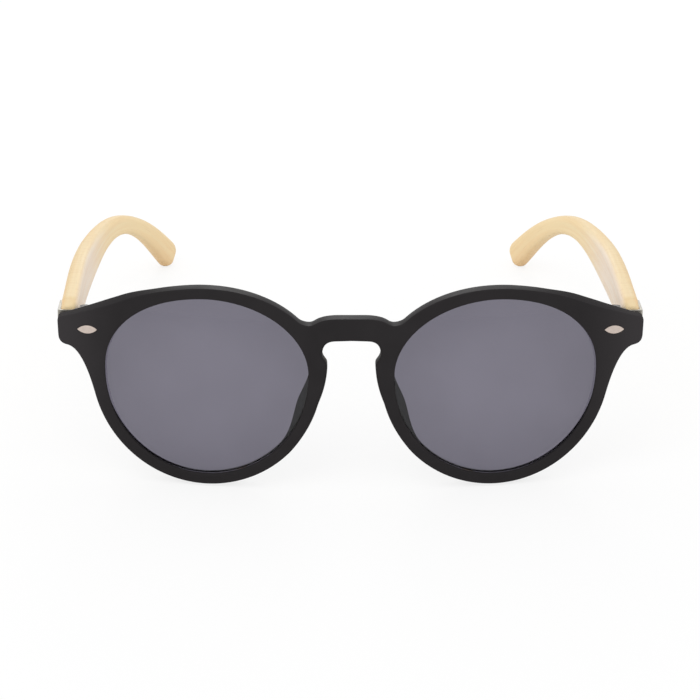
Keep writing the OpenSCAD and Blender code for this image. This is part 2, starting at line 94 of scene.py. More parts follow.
class SUNGLASSES_PG_front(bpy.types.PropertyGroup):
    """Sizes and finish of the front and its lenses."""

    lens_w: length("Lens width", "Width of a lens opening", 50.3)
    lens_up: length("Lens above", "Height of an opening above its widest line", 18)
    lens_down: length("Lens below", "Height of an opening below its widest line", 26.6)
    lens_t: length("Lens thickness", "Thickness of a lens", 2)
    lens_set: length("Lens set", "Depth of a lens behind the front face", 1.1)
    lens_edge: length("Lens edge", "How far a lens goes into its groove", 0.7)
    lens_play: length("Lens play", "Play between a lens and its groove", 0.05)
    front_w: length("Front width", "Width across the end pieces", 145.7)
    front_t: length("Front thickness", "Thickness of the front", 4.2)
    face_r: length("Face radius", "Radius of the front's curve", 260)
    rim_side: length("Rim beside", "Width of the rim beside a lens", 3.55)
    rim_top: length("Rim above", "Width of the rim above a lens", 2.65)
    rim_low: length("Rim below", "Width of the rim under a lens", 3.2)
    end_top: length("End top", "Height of the end pieces' upper corners", 11.5)
    end_low: length("End foot", "Height of the end pieces' lower corners", 5.1)
    end_ramp: length("End ramp", "Length over which the ends thicken", 14)
    bridge_gap: length("Bridge gap", "Gap between the two lens openings", 21.3)
    bridge_rise: length("Bridge rise", "Height of the bridge's top edge", 13.8)
    bridge_h: length("Bridge height", "Height of the bridge above the keyhole", 5.8)
    bridge_flat: length("Bridge flat", "Straight part of the bridge's top edge", 6)
    notch_gap: length("Notch gap", "Distance between the notches", 20.6)
    notch_d: length("Notch depth", "Depth of the notches beside the bridge", 1.8)
    keyhole_w: length("Keyhole width", "Greatest width of the keyhole", 14.4)
    keyhole_waist: length("Keyhole waist", "Width of the keyhole at its waist", 11.8)
    keyhole_h: length("Keyhole height", "Height from the waist to the bridge", 5.5)
    pad_out: length("Pad height", "How far the nose pads stand out", 3.6)
    pad_over: length("Pad overhang", "How far the nose pads reach over the lenses", 1.5)
    front_round: length("Front rounding", "Rounding of the front edges", 0.22)
    nose_round: length("Nose rounding", "Rounding of the front edges round the nose", 1)
    rear_round: length("Rear rounding", "Rounding of the rear edges", 0.25)
    end_soft: length("End rounding", "Rounding of the ends' rear top edges", 1.4)
    lip_round: length("Lip rounding", "Rounding of the edges round a lens", 0.35)
    lip_flare: length("Lip flare", "How much wider an opening is behind its lens", 0.55)
    lip_open: length("Lip opening", "How far the front lip opens round a lens's foot", 0.5)
    rivet_w: length("Rivet length", "Length of a rivet's pointed head", 5)
    rivet_h: length("Rivet height", "Height of a rivet's pointed head", 2.05)
    rivet_r: length("Rivet shank", "Shank radius of a rivet", 0.8)
    rivet_in: length("Rivet place", "Distance from the outer edge to a rivet", 7.5)
    rivet_dome: length("Rivet dome", "How far a rivet's middle stands out", 0.3)
    rivet_tilt: angle("Rivet tilt", "Turn of the rivets from level", -2)
    hinge_z: length("Hinge height", "Height of a hinge's middle", 8.9)
    pin_back: length("Pin place", "Distance from an end's back to its screw", 2)
    black: colour("Black", "Moulded plastic", 45, 43, 44)
    tint: colour("Tint", "Light that comes through a lens", 115, 112, 125)


class SUNGLASSES_PG_temple(bpy.types.PropertyGroup):
    """Sizes and finish of the temples."""

    long: length("Length", "Length along the middle line", 135.5)
    out_x: length("Outside", "Distance from the middle to the outer face", 72.35)
    gap_y: length("Gap", "Distance from an end's back to the temple", 1)
    thick: length("Thickness", "Thickness at the hinge", 4.3)
    tip_thick: length("Tip thickness", "Thickness at the tip", 3.85)
    high: length("Height", "Height at the hinge", 9)
    mid_high: length("Middle height", "Greatest height", 10.7)
    mid_at: length("Middle place", "Distance to the greatest height", 44)
    neck_high: length("Neck height", "Least height, in the middle of the bend", 5.1)
    tip_high: length("Tip height", "Height at the tip", 7.6)
    tip_r: length("Tip corner", "Corner radius of the tip", 2.9)
    top_z: length("Top", "Height of the top edge at the hinge", 13.8)
    straight: length("Straight", "Straight stretch behind the hinge", 24)
    sweep: angle("Sweep", "Inward turn spread along the temple", 13.5)
    hook: angle("Hook", "Further inward turn at the hook", 12)
    hook_from: length("Hook start", "Distance to the hook's inward turn", 68.5)
    hook_long: length("Hook length", "Length of the hook's inward turn", 43.5)
    drop: angle("Drop", "Downward bend of the hook", 37.5)
    drop_from: length("Drop start", "Distance to the downward bend", 81)
    drop_long: length("Drop length", "Length of the downward bend", 49.5)
    nose_drop: length("Nose drop", "How far the top edge drops at the front end", 1.3)
    nose_long: length("Nose length", "Length of that slope", 5)
    nose_round: length("Nose rounding", "Rounding of the front end", 0.5)
    relief_in: length("Relief", "How far the inner front corner is cut back", 1)
    relief_long: length("Relief length", "Length over which it is cut back", 2.5)
    slot_long: length("Slot length", "Length of the slot for the hinge arm", 3)
    slot_high: length("Slot height", "Height of the slot for the hinge arm", 2.75)
    case_wide: length("Mortise width", "Width of the mortise for the spring case", 2.78)
    case_high: length("Mortise height", "Height of the mortise for the spring case", 5.08)
    case_end: length("Mortise depth", "Distance to the mortise's end", 15.54)
    edge_round: length("Edge rounding", "Rounding of the long edges at the hinge", 1.3)
    tip_round: length("Tip rounding", "Rounding of the long edges at the tip", 1.75)
    end_round: length("End rounding", "Rounding of the tip's end", 1.3)
    cream: colour("Cream", "Bamboo on the edges", 235, 212, 166)
    # The inner faces' colour is painted light: paler and pinker than the cream, a painted sheen that lifts
    # their shade
    blush: colour("Blush", "Bamboo on the inner faces", 251, 234, 214)
    honey: colour("Honey", "Bamboo towards the tips", 230, 190, 140)


class SUNGLASSES_PG_metal(bpy.types.PropertyGroup):
    """Finish of the metal pieces."""

    bevel: length("Bevel", "Bevel along the edges of the hinge pieces", 0.12)
    cap_bevel: length("Cap bevel", "Bevel along the edges of the temple caps", 0.22)
    satin: colour("Satin", "Rivets", 214, 199, 189)
    silver: colour("Silver", "Temple caps", 188, 184, 174)
    # The hinge steel is painted dark: painted shade that stands in for the shade in the gap round the hinges
    # behind the end pieces
    steel: colour("Steel", "Hinge pieces", 124, 121, 119)


class SUNGLASSES_PG_stage(bpy.types.PropertyGroup):
    """Camera, floor and light."""

    distance: length("Camera distance", "Distance from the lenses to the camera", 800)
    focal: amount("Lens", "Focal length in millimetres", 167.04)
    look_down: angle("Look down", "Angle down on to the front", 16.8)
    look_aside: angle("Look aside", "Angle of the camera to one side", -1.04)
    roll: angle("Roll", "Roll of the camera", 0.3)
    aim_x: length("Aim across", "Shift of the camera across", -0.404)
    aim_z: length("Aim up", "Shift of the camera upwards", 8.798)
    floor_size: length("Floor", "Side of the floor", 6000)
    floor_glow: amount("Floor glow", "Share of the floor's white that no shadow takes", 0.8, **SHARE)
    sky: amount("Sky", "Level of the light from all round", 0.88, **SHARE)
    lamp: amount("Lamp", "Power of the soft lamp in watts", 2.0)
    back_lamp: amount("Back lamp", "Power of the lamp behind in watts", 0.6)


def millimetres(name):
    """The values of one of the scene's groups, with its lengths in millimetres."""
    group = getattr(bpy.context.scene, f"sunglasses_{name}")
    values = SimpleNamespace()
    for rule in group.bl_rna.properties:
        if rule.identifier not in {"rna_type", "name"}:
            value = getattr(group, rule.identifier)
            scale = 1 / MM if getattr(rule, "unit", "") == "LENGTH" else 1
            setattr(values, rule.identifier, value * scale if rule.subtype != "COLOR" else tuple(value))
    return values


# Curves

SAME = 1e-9
XZ = [0, 2]


def ease(t):
    """A smooth rise from 0 to 1: three times the square less twice the cube."""
    t = np.clip(t, 0, 1)
    return t * t * (3 - 2 * t)


def between(a, b, t):
    """The point at share t of the way from a to b."""
    return a + (b - a) * t


def join(*parts, axis=0):
    """Arrays put end to end."""
    return np.concatenate(parts, axis=axis)


def signed_power(t, n):
    """The power of a number's size, with its sign kept."""
    return np.sign(t) * np.abs(t) ** n


def unit(vectors):
    """Vectors made 1 long."""
    return vectors / np.linalg.norm(vectors, axis=-1, keepdims=True)


def bend(a, b, c, count=40):
    """A curve from a to c that leaves and arrives towards b: a blend of two moving blends."""
    t = np.linspace(0, 1, count)[:, None]
    return between(between(np.array(a), np.array(b), t), between(np.array(b), np.array(c), t), t)


def spaced(points, count):
    """A line of points at equal distances along another line."""
    steps = np.linalg.norm(np.diff(points, axis=0), axis=1)
    points = points[join([True], steps > SAME)]
    run = join([0], np.cumsum(steps[steps > SAME]))
    at = np.linspace(0, run[-1], count)
    return np.stack([np.interp(at, run, part) for part in points.T], axis=1)


# The front's own shape. Names in _A are degrees round the right lens from its outer side

LENS_FULLNESS = 2.05
LENS_NOSE = 1.85
BROW_A = 81.5
BROW_REACH = 9.75
SHOULDER_IN = 15.85
SHOULDER_UP = 5.0
FLARE_REACH = (4.0, -1.68)
END_ROUND = 0.4
END_LOW_ROUND = 1.8
END_LEAN = 0.2
END_LAND = 0.1
END_FOOT = 12
END_FOOT_FADE = 7
SCOOP_IN = 2.25
SCOOP_A = -15
SCOOP_DROP = 0.2
NOTCH_A = 143
NOTCH_LIP = 1.3
NOTCH_SHARES = (0.7, 1.3)
LOBE_R = 3.2
KEYHOLE_ARCH = 0.13
LEG_A = 195.6
LEAF_X = 62.95
LEAF_LAND = 1
NOSE_X = 16
NOSE_X_FADE = 5
NOSE_Z = 10.4
NOSE_Z_FADE = 1.2
LIP_LEVEL = 0.1
LIP_FADE = 0.7
PAD_A = (176, 198, 226)
PAD_CLEAR = 0.1
SMOOTHINGS = 3
NUDGE = 0.002

# A rivet's rings: sizes and heights at the edge of its head, sizes and depths at the end of its shank
RIVET_TOP = 0.93
RIVET_FALL = 0.6
RIVET_EDGE = np.array([[0.98, 0.12], [1, 0.02], [1, -0.5]])
RIVET_END = np.array([[1, -3], [1, 0.02], [0.85, 0.1], [0.5, 0.14], [0, 0.15]])

# A temple's mesh: its lines and rows, how they crowd and spread at the slot, the least wood beside the
# slot, and the largest rounding
FACE_LINES = 5
TIP_ROWS = 16
SLOT_CROWD = 1.8
SLOT_SPREAD = 20
SLOT_WALL = 0.35
ROUND_LIMIT = 0.45


def front_values():
    """Sizes of the front in millimetres, with the places that follow from them."""
    s = millimetres("front")
    s.half_w = s.front_w / 2
    s.lens_x = (s.bridge_gap + s.lens_w) / 2
    s.rim_x = s.lens_x + s.lens_w / 2 + s.rim_side
    s.face_mid = (s.lens_up + s.rim_top - s.lens_down - s.rim_low) / 2
    s.end_rear = face_depth(s, s.half_w, s.end_top, s.front_t) + END_LAND
    s.end_flat = s.end_rear - END_LAND
    s.ramp_x = LEAF_X - LEAF_LAND - s.end_ramp
    s.rivet_x = s.half_w - s.rivet_in
    return s


def face_depth(s, x, z, depth=0):
    """How far back the front's curve lies at x and z: a sphere, made smaller by the depth."""
    return s.face_r - np.sqrt((s.face_r - depth) ** 2 - x**2 - (z - s.face_mid) ** 2)


def rear_depth(s, x, z):
    """Back of the front: the smaller sphere, eased over to the flat back of the end piece."""
    shell = face_depth(s, x, z, s.front_t)
    along = ease((x - s.ramp_x) / s.end_ramp)
    above = ease((z - s.end_low + END_FOOT) / END_FOOT_FADE)
    return shell + along * above * (s.end_flat - shell)


def eye(s, turn, beside, above, under, nose=LENS_FULLNESS):
    """Outline round the right lens: half an ellipse below its widest line, a fuller half above."""
    upper = np.sin(turn) >= 0
    power = np.where(upper, np.where(np.cos(turn) < 0, 2 / nose, 2 / LENS_FULLNESS), 1)
    height = np.where(upper, s.lens_up + above, s.lens_down + under)
    x = s.lens_x + (s.lens_w / 2 + beside) * signed_power(np.cos(turn), power)
    return np.stack([x, height * signed_power(np.sin(turn), power)], axis=-1)


def rim(s, degrees):
    """A point, or points, of the rim's outline at angles round the lens."""
    return eye(s, np.radians(degrees), s.rim_side, s.rim_top, s.rim_low)


def half_outline(s, step, bridge_count):
    """The right half of the front's outline, from the middle of the bridge's top to the keyhole's top.

    Curves and rim arcs are put end to end, respaced and lightly smoothed. The normals are the
    tangents turned to the left. Also gives the places of the notch's lip and the keyhole's lobe.
    """
    brow = rim(s, BROW_A) + BROW_REACH * unit(rim(s, BROW_A - 1) - rim(s, BROW_A + 1))
    corner = [s.half_w - END_ROUND, s.end_top]
    shoulder = np.array([s.half_w - SHOULDER_IN, s.end_top + SHOULDER_UP])
    toe = [s.half_w - END_LEAN - END_LOW_ROUND, s.end_low - END_LOW_ROUND / 4]
    notch_x = s.notch_gap / 2
    notch_in = [notch_x - NOTCH_LIP, s.bridge_rise - s.notch_d * NOTCH_SHARES[0]]
    notch_low = [notch_x - NOTCH_LIP / 6, s.bridge_rise - s.notch_d * NOTCH_SHARES[1]]
    key_top = s.bridge_rise - s.bridge_h
    waist = np.array([s.keyhole_waist / 2, key_top - s.keyhole_h])
    lobe = np.array([s.keyhole_w / 2, key_top - LOBE_R])
    leg = rim(s, LEG_A)
    top = join(
        [[0, s.bridge_rise]],
        bend([s.bridge_flat / 2, s.bridge_rise], [notch_x - LOBE_R, s.bridge_rise], notch_in),
    )
    round_lens = join(
        bend(notch_in, notch_low, rim(s, NOTCH_A)),
        rim(s, np.linspace(NOTCH_A, BROW_A, 120)),
        bend(rim(s, BROW_A), brow, shoulder),
        bend(shoulder, shoulder + FLARE_REACH, corner),
        bend(corner, [s.half_w, s.end_top - END_ROUND / 3], [s.half_w, s.end_top - END_ROUND]),
        bend([s.half_w - END_LEAN, s.end_low + END_LOW_ROUND], [s.half_w - END_LEAN, s.end_low], toe),
        bend(toe, [s.rim_x + SCOOP_IN, s.end_low - END_LOW_ROUND * SCOOP_DROP], rim(s, SCOOP_A)),
        rim(s, np.linspace(SCOOP_A, LEG_A - 360, 300)),
        bend(leg, [waist[0], (waist[1] + leg[1]) / 2], waist),
        bend(waist, [lobe[0], (waist[1] + lobe[1]) / 2], lobe),
    )
    low = join(
        bend(lobe, [lobe[0], key_top], [lobe[0] - LOBE_R, key_top]),
        [[0, key_top + KEYHOLE_ARCH]],
    )
    count = int(np.linalg.norm(np.diff(round_lens, axis=0), axis=1).sum() / step)
    outline = join(spaced(top, bridge_count), spaced(round_lens, count)[1:], spaced(low, bridge_count)[1:])
    for _ in range(SMOOTHINGS):
        wide = past_the_middle(outline)
        outline = (wide[:-2] + 2 * wide[1:-1] + wide[2:]) / 4
    wide = past_the_middle(outline)
    tangent = unit(wide[2:] - wide[:-2])
    normal = np.stack([-tangent[:, 1], tangent[:, 0]], axis=1)
    notch = bridge_count - 1
    return outline, normal, notch, notch + count - 1


def past_the_middle(outline):
    """A half outline with one mirrored point added at each end."""
    across = np.array([-1, 1])
    return join(outline[1:2] * across, outline, outline[-2:-1] * across)


def placed(flat, depth):
    """Points in x, y and z from points in x and z and their depths."""
    return np.stack([flat[..., 0], depth, flat[..., 1]], axis=-1)


def on_face(s, flat, depth=0):
    """Points in x and z put on the front's curve, or a depth behind it."""
    return placed(flat, face_depth(s, flat[..., 0], flat[..., 1], depth))


def on_back(s, flat):
    """Points in x and z put on the back of the front."""
    return placed(flat, rear_depth(s, flat[..., 0], flat[..., 1]))


def edge_rows(s, outline, normal, arc):
    """The outer edge carried along the outline: a quarter round, a straight wall and a quarter round.

    The front rounding grows under the bridge and beside the nose, and the rear one on top of the ends.
    """
    x, z = outline.T
    nose = ease((NOSE_X - x) / NOSE_X_FADE) * ease((NOSE_Z - z) / NOSE_Z_FADE)
    end = ease((x - s.ramp_x) / s.end_ramp) * np.clip(normal[:, 1], 0, 1)
    front_r = between(s.front_round, s.nose_round, nose)[:, None]
    rear_r = between(s.rear_round, s.end_soft, end)[:, None]
    turn = np.linspace(0, math.pi / 2, arc)
    front = on_face(s, outline[:, None] - (front_r * (1 - np.sin(turn)))[..., None] * normal[:, None])
    front[..., 1] += front_r * (1 - np.cos(turn))
    rear = on_back(s, outline[:, None] - (rear_r * (1 - np.cos(turn)))[..., None] * normal[:, None])
    rear[..., 1] -= rear_r * (1 - np.sin(turn))
    return join(front, rear, axis=1)


def spoke_turns(s, flat, window=17):
    """Angles round the lens at which the spokes to a closed line of points start.

    Each is the angle of the point itself, averaged with its neighbours so that spokes spread out.
    """
    high = np.where(flat[:, 1] >= 0, s.lens_up + s.rim_top, s.lens_down + s.rim_low)
    turn = np.unwrap(np.arctan2(flat[:, 1] / high, (flat[:, 0] - s.lens_x) / (s.lens_w / 2 + s.rim_side)))
    trend = np.linspace(0, -2 * math.pi, len(turn), endpoint=False)
    rest = turn - turn[0] - trend
    kernel = np.hanning(window + 2)[1:-1]
    wide = join(rest[-window:], rest, rest[:window])
    return turn[0] + trend + np.convolve(wide, kernel / kernel.sum(), "same")[window:-window]


def cut_line(start, end, count):
    """Points in x and z between two points, ends left out."""
    return between(start[..., None, :], end[..., None, :], np.linspace(0, 1, count + 2)[1:-1, None])


def quads(numbers):
    """Quads between the rows and columns of a table of point numbers."""
    upper, lower = numbers[:-1], numbers[1:]
    return np.stack([upper[:, :-1], lower[:, :-1], lower[:, 1:], upper[:, 1:]], axis=-1).reshape(-1, 4)


def grid_faces(rows, columns, close_rows, keep=None):
    """Quads over a grid of points whose columns close round, for the pairs of rows and columns kept."""
    numbers = np.arange(rows * columns).reshape(rows, columns)
    numbers = np.append(numbers, numbers[:, :1], axis=1)
    if close_rows:
        numbers = np.append(numbers, numbers[:1], axis=0)
    made = quads(numbers)
    return made if keep is None else made[keep.ravel()]


def front_surface(s, arc=5, step=0.36, bridge_count=27, cut_count=14, face_rows=5, back_rows=13):
    """The right half of the front, as two grids.

    Round the lens, a closed profile is carried from spoke to spoke: groove, lip, face, outer edge,
    back and lip again. On the back the profile swells to half an ellipse where the nose pad is.
    Across the bridge, a closed section is carried from the cut beside the lens to the middle.
    """
    outline, normal, notch, lobe = half_outline(s, step, bridge_count)
    edge = edge_rows(s, outline, normal, arc)
    flat = edge[..., XZ]
    front_cut = on_face(s, cut_line(flat[lobe, 0], flat[notch, 0], cut_count))
    rear_cut = on_back(s, cut_line(flat[lobe, -1], flat[notch, -1], cut_count))
    cut_edge = np.repeat(np.stack([front_cut, rear_cut], 1), arc, 1)
    ring = join(edge[notch:lobe + 1], cut_edge)
    around = join(outline[notch:lobe + 1], front_cut[:, XZ])

    turn = spoke_turns(s, around)
    lip = eye(s, turn, 0, 0, 0, LENS_NOSE)
    along = unit(eye(s, turn + NUDGE, 0, 0, 0, LENS_NOSE) - eye(s, turn - NUDGE, 0, 0, 0, LENS_NOSE))
    away = np.stack([along[:, 1], -along[:, 0]], axis=1)

    def row(offset, depth):
        """One line of points beside the lens opening, a given way into the rim and depth from its face."""
        return on_face(s, lip + np.broadcast_to(offset, turn.shape)[:, None] * away, depth)

    quarter = np.linspace(0, math.pi / 2, arc)
    groove_front = s.lens_set - s.lens_play
    groove_back = s.lens_set + s.lens_t + s.lens_play
    groove = s.lens_edge + s.lens_play
    corners = np.where(np.sin(turn) > 0, np.sin(2 * turn) ** 2, 0)
    wider = s.lip_open * (ease((LIP_LEVEL - np.sin(turn)) / LIP_FADE) + corners / 2)
    rows = [row(groove, groove_front), row(wider, groove_front)]
    rows += [row(wider + s.lip_round * (1 - math.cos(q)), s.lip_round * (1 - math.sin(q))) for q in quarter]
    face = on_face(s, cut_line(rows[-1][:, XZ], ring[:, 0, XZ], face_rows))

    degrees = np.degrees(turn) % 360
    low, middle, high = PAD_A
    swell = ease((degrees - low) / (middle - low)) * ease((high - degrees) / (high - middle))
    flare = s.lip_flare * (1 - swell)
    back_lip = []
    for q in quarter:
        offset = s.lip_round * (1 - math.sin(q)) + flare - swell * s.pad_over
        flat_row = lip + offset[:, None] * away
        plain = rear_depth(s, *flat_row.T) - s.lip_round * (1 - math.cos(q))
        over = face_depth(s, *flat_row.T, groove_back + PAD_CLEAR)
        back_lip.append(placed(flat_row, between(plain, np.minimum(over, plain), swell * q * 2 / math.pi)))
    across = np.linspace(0, math.pi, back_rows + 2)[1:-1]
    back = between(ring[:, -1:, XZ], back_lip[0][:, None, XZ], ((1 - np.cos(across)) / 2)[:, None])
    back = on_back(s, back)
    back[..., 1] += s.pad_out * swell[:, None] * np.sin(across)
    tail = [row(flare, groove_back), row(groove, groove_back)]
    ring = join(np.stack(rows, 1), face, ring, back, np.stack(back_lip, 1), np.stack(tail, 1), axis=1)
    spokes, columns = ring.shape[:2]
    first_edge = len(rows) + face_rows
    keep = np.ones((spokes, columns), bool)
    keep[lobe - notch:, first_edge:first_edge + 2 * arc - 1] = False
    faces = grid_faces(spokes, columns, True, keep)

    upper = edge[:notch + 1][::-1]
    lower = edge[lobe:]
    face = on_face(s, cut_line(lower[:, 0, XZ], upper[:, 0, XZ], cut_count))
    back = on_back(s, cut_line(upper[:, -1, XZ], lower[:, -1, XZ], cut_count))
    bridge = join(upper, back, lower[:, ::-1], face, axis=1)
    faces = join(faces, grid_faces(*bridge.shape[:2], False) + spokes * columns)
    return join(ring.reshape(-1, 3), bridge.reshape(-1, 3)), faces


def lens_surface(s, columns=160, rings=14):
    """A lens: its outline drawn in to the middle on two spheres, front and back, joined at the rim."""
    turn = np.linspace(0, 2 * math.pi, columns, endpoint=False)
    outline = eye(s, turn, s.lens_edge, s.lens_edge, s.lens_edge, LENS_NOSE)
    middle = np.array([s.lens_x, (s.lens_up - s.lens_down) / 2])
    size = np.sin(np.linspace(0, math.pi / 2, rings))[:, None, None]
    flat = between(middle, outline[None], size)
    back = on_face(s, flat, s.lens_set + s.lens_t)
    grid = join(on_face(s, flat, s.lens_set), back[::-1])
    return grid.reshape(-1, 3), grid_faces(2 * rings, columns, False)


def rivet_surface(s, columns=64, rings=8):
    """A rivet: a low dome over the overlap of two circles, its edge, and a round shank with a domed end."""
    turn = np.linspace(0, 2 * math.pi, columns, endpoint=False)
    head_r = (s.rivet_w**2 + s.rivet_h**2) / (4 * s.rivet_h)
    shift = head_r - s.rivet_h / 2
    reach = np.sqrt(head_r**2 - (shift * np.cos(turn)) ** 2) - shift * np.abs(np.sin(turn))
    ray = np.stack([np.cos(turn), np.sin(turn)], axis=1)
    cosine, sine = math.cos(s.rivet_tilt), math.sin(s.rivet_tilt)
    outline = (reach[:, None] * ray) @ np.array([[cosine, sine], [-sine, cosine]])
    middle = np.array([s.rivet_x, s.hinge_z])
    top = np.linspace(0, RIVET_TOP, rings)
    size = join(top, RIVET_EDGE[:, 0])
    lift = join(s.rivet_dome * (1 - RIVET_FALL * top**2), RIVET_EDGE[:, 1])
    flat = middle + size[:, None, None] * outline[None]
    head = on_face(s, flat)
    head[..., 1] -= lift[:, None]
    shank = middle + s.rivet_r * RIVET_END[:, :1, None] * ray[None]
    shank = placed(shank, np.repeat(s.end_rear + RIVET_END[:, 1:], columns, 1))
    grid = join(head, shank)
    return grid.reshape(-1, 3), grid_faces(len(grid), columns, False)


def round_off(distance, radius):
    """How far a quarter round cuts in at distances from the end that it rounds."""
    near = 1 - np.clip(distance / radius, 0, 1)
    return radius * (1 - np.sqrt(1 - near**2))


def temple_surface(t, s, stations=200, corner=6, slot_rows=12):
    """A temple: a rounded oblong carried along a line that turns inward and down towards its tip.

    The turn and the drop are eased sums of the distance, and the line adds up steps in their
    direction. Height and thickness follow the distance too. They shrink in quarter rounds at both
    ends, and along straight slopes on the top and the inner face at the front end.
    """
    run = join(
        t.slot_long * np.linspace(0, 1, slot_rows + 1) ** SLOT_CROWD,
        np.linspace(t.slot_long, t.long - t.tip_r, stations)[1:],
        t.long - t.tip_r * (1 - np.sin(np.linspace(0, math.pi / 2, TIP_ROWS + 1)[1:])),
    )

    def heading(at):
        """Directions along and up at distances from the front end."""
        drop = t.drop * ease((at - t.drop_from) / t.drop_long)
        turn = t.sweep * np.clip((at - t.straight) / (t.long - t.straight), 0, 1)
        turn = turn + t.hook * ease((at - t.hook_from) / t.hook_long)
        ahead = np.stack([-np.sin(turn), np.cos(turn), np.zeros_like(turn)], axis=1)
        rise = np.array([0, 0, 1.0])
        drop = drop[:, None]
        return ahead * np.cos(drop) - rise * np.sin(drop), ahead * np.sin(drop) + rise * np.cos(drop)

    way, up = heading(run)
    out = np.cross(way, up)
    start = np.array([t.out_x - t.thick / 2, s.end_rear + t.gap_y, t.top_z - t.high / 2])
    steps = np.diff(run)[:, None] * heading((run[1:] + run[:-1]) / 2)[0]
    middle = start + join(np.zeros((1, 3)), np.cumsum(steps, axis=0))

    neck = t.drop_from + t.drop_long / 2
    high = between(t.high, t.mid_high, ease(run / t.mid_at))
    high = between(high, t.neck_high, ease((run - t.mid_at) / (neck - t.mid_at)))
    high = between(high, t.tip_high, ease((run - neck) / (t.long - neck)))
    thick = between(t.thick, t.tip_thick, np.clip((run - t.straight) / (t.long - t.straight), 0, 1))
    half_h = high / 2 - round_off(t.long - run, t.tip_r) - round_off(run, t.nose_round)
    half_t = thick / 2 - round_off(t.long - run, t.end_round) - round_off(run, t.nose_round)
    top = half_h - t.nose_drop * np.clip(1 - run / t.nose_long, 0, 1)
    inner = half_t - t.relief_in * np.clip(1 - run / t.relief_long, 0, 1)
    radius = between(t.edge_round, t.tip_round, ease(run / t.long))
    radius = np.minimum(radius, ROUND_LIMIT * np.minimum(half_h + top, half_t + inner))

    quarter = np.linspace(0, math.pi / 2, corner)
    slot_mid = s.hinge_z - start[2]
    corners = []
    for k, (wide, tall) in enumerate([(half_t, top), (-inner, top), (-inner, -half_h), (half_t, -half_h)]):
        turn = quarter + k * math.pi / 2
        over = (wide - np.sign(wide) * radius)[:, None] + radius[:, None] * np.cos(turn)
        above = (tall - np.sign(tall) * radius)[:, None] + radius[:, None] * np.sin(turn)
        corners.append(np.stack([over, above], axis=-1))
    joined = []
    for this, following in zip(corners, corners[1:] + corners[:1]):
        joined += [this, cut_line(this[:, -1], following[:, 0], FACE_LINES)]
    ring = join(*joined, axis=1)

    # The inner face's lines run along the slot's edges at first, and spread evenly behind it
    first = 2 * corner + FACE_LINES
    face = ring[:, first - 1:first + FACE_LINES + 1, 1]
    upper, lower = slot_mid + t.slot_high / 2, slot_mid - t.slot_high / 2
    edges = np.tile([upper, upper, slot_mid, lower, lower], (len(run), 1))
    edges[:, [0, -1]] = (face[:, [0, -1]] + edges[:, [0, -1]]) / 2
    spread = ease((run - t.slot_long) / SLOT_SPREAD)[:, None]
    ring[:, first:first + FACE_LINES, 1] = between(edges, face[:, 1:-1], spread)
    rows, columns = ring.shape[:2]
    number = np.arange(rows * columns).reshape(rows, columns)
    keep = np.ones((rows - 1, columns), bool)
    keep[:slot_rows, first + 1:first + 3] = False
    faces = grid_faces(rows, columns, False, keep).tolist()

    # The slot opens into the mortise, which goes on behind it and is closed at its end
    roof, base = slot_mid + t.case_high / 2, slot_mid - t.case_high / 2
    depth = np.minimum(t.case_wide / 2, inner[:slot_rows + 1] - SLOT_WALL)
    depth = np.append(depth, t.case_wide / 2)
    far = np.full_like(depth, t.case_wide / 2)
    over = np.stack([-depth, -depth, far, far, -depth, -depth], axis=1)
    above = np.broadcast_to([upper, roof, roof, base, base, lower], over.shape)
    pocket = np.stack([over, above], axis=-1)
    pocket_run = np.repeat(np.append(run[:slot_rows + 1], t.case_end)[:, None], over.shape[1], 1)
    inside = rows * columns + np.arange(over.size).reshape(over.shape)
    slot_edges = number[:slot_rows + 1, [first + 1, first + 3]]
    walls = join(slot_edges[:, :1], inside[:-1], slot_edges[:, 1:], axis=1)
    faces += [*quads(walls), *quads(np.append(inside[-2:], inside[-2:, :1], axis=1))]
    faces += [inside[-1].tolist(), [*number[slot_rows, first + 1:first + 4], inside[-2, -1], inside[-2, 0]]]
    faces += [[*number[0, :first + 2], *inside[0], *number[0, first + 3:]], number[-1].tolist()]

    points = middle[:, None] + ring[..., :1] * out[:, None] + ring[..., 1:] * up[:, None]
    hollow = start + placed(pocket, pocket_run)
    points = join(points.reshape(-1, 3), hollow.reshape(-1, 3))
    flat = join(ring.reshape(-1, 2), pocket.reshape(-1, 2))
    at = join(np.repeat(run, columns), pocket_run.ravel())
    half = np.stack([np.interp(at, run, size) for size in (half_h, half_t)], axis=1)
    grain = np.column_stack([at, flat[:, ::-1]]) * MM
    place = np.column_stack([flat[:, ::-1] / half, at / t.long])
    return points, faces, {"grain": grain, "place": place}


# From arrays to objects

MERGE = 1e-6
FLAT_ANGLE = 0.01
SHARP_ANGLE = math.radians(38)
BEVEL_ANGLE = math.radians(40)


def standing(points, side):
    """Points in the front's own millimetres, moved to the CAD frame in metres.

    The lean is the one of the hinge screw's axis, and the shift takes the screw's own place to the
    joint's. The left side is the right one mirrored in x.
    """
    s = front_values()
    lean = math.atan2(PIN["axis"][1], PIN["axis"][2])
    turn = np.array([[1, 0, 0], [0, math.cos(lean), -math.sin(lean)], [0, math.sin(lean), math.cos(lean)]])
    pin = np.array([0, s.end_rear + s.pin_back, s.hinge_z]) @ turn
    shift = np.array(PIN["pos_m"]) * [0, 1, 1] - pin * MM
    return (points @ turn * MM + shift) * [side, 1, 1]


def linked(name, data):
    """A new object in the scene."""
    made = bpy.data.objects.new(name, data)
    bpy.context.scene.collection.objects.link(made)
    return made


